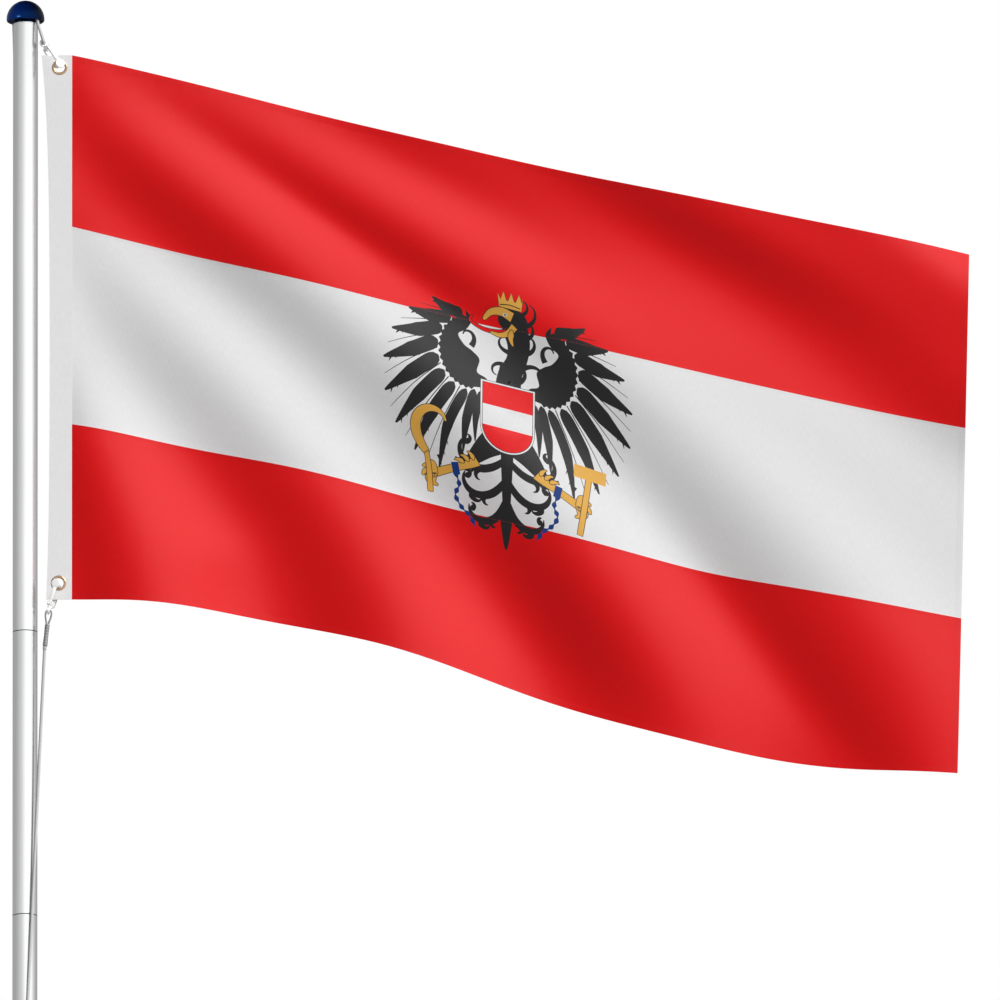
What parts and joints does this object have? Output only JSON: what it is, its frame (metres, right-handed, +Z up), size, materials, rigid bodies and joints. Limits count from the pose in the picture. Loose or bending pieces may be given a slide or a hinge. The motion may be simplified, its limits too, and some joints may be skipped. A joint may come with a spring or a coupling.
{
  "type": "sectional flagpole with flag",
  "caption": "Sectional aluminium flagpole in a ground sleeve, with a blue domed cap, a taut halyard on a cleat and a red and white striped flag on two snap hooks.",
  "frame": {"origin": "middle of the ground sleeve's flat underside, on the pole's axis at ground level", "axes": "+Z up along the pole, +X from the pole towards the flag's fly, -Y the side the cleat is on"},
  "size_m": [1.5509, 0.0883, 6.2356],
  "materials": {
    "pole_aluminium": "satin anodised",
    "sleeve_aluminium": "satin",
    "collar_black": "moulded",
    "cap_blue": "gloss",
    "nylon_white": "moulded nylon",
    "cleat_nylon": "moulded nylon",
    "pin_steel": "plain",
    "halyard_cord": "braided",
    "shrink_sleeve": "shrunk tube",
    "grommet_brass": "polished",
    "cloth_white": "woven polyester",
    "cloth_red": "woven polyester"
  },
  "bodies": {
    "root": {"ground_sleeve": "sleeve_aluminium", "sleeve_collar": "collar_black", "pole_section_1": "pole_aluminium", "pole_section_2": "pole_aluminium", "pole_section_3": "pole_aluminium", "pole_section_4": "pole_aluminium", "pole_section_5": "pole_aluminium", "pole_section_6": "pole_aluminium", "truck": "cap_blue", "pulley_wheel": "nylon_white", "pulley_pin": "pin_steel", "cap_dome": "cap_blue", "cleat": "cleat_nylon", "cleat_screws": "pin_steel", "halyard_up": "halyard_cord", "cleat_turns": "halyard_cord", "halyard_down": "halyard_cord", "upper_knot": "halyard_cord", "upper_swivel": "nylon_white", "upper_hook": "nylon_white", "upper_pin": "pin_steel", "lower_swivel": "nylon_white", "lower_hook": "nylon_white", "lower_pin": "pin_steel", "lower_loop": "halyard_cord", "rope_sleeve": "shrink_sleeve", "rope_whipping": "halyard_cord", "grommet_top": "grommet_brass", "grommet_bottom": "grommet_brass", "heading": "cloth_white", "stripe_top": "cloth_red", "stripe_middle": "cloth_white", "stripe_bottom": "cloth_red"},
    "upper_gate": {"upper_gate": "nylon_white"},
    "lower_gate": {"lower_gate": "nylon_white"}
  },
  "joints": [
    {"name": "upper_gate_hinge", "type": "hinge", "parent": "root", "child": "upper_gate", "pos_m": [0.03878, -0.022, 6.15319], "axis": [0.7908, 0.342, 0.5077], "range_deg": [0, 12], "stiffness_Nm_per_rad": 0.02},
    {"name": "lower_gate_hinge", "type": "hinge", "parent": "root", "child": "lower_gate", "pos_m": [0.03999, -0.022, 5.23716], "axis": [-0.8901, 0.342, 0.3013], "range_deg": [0, 12], "stiffness_Nm_per_rad": 0.02}
  ]
}
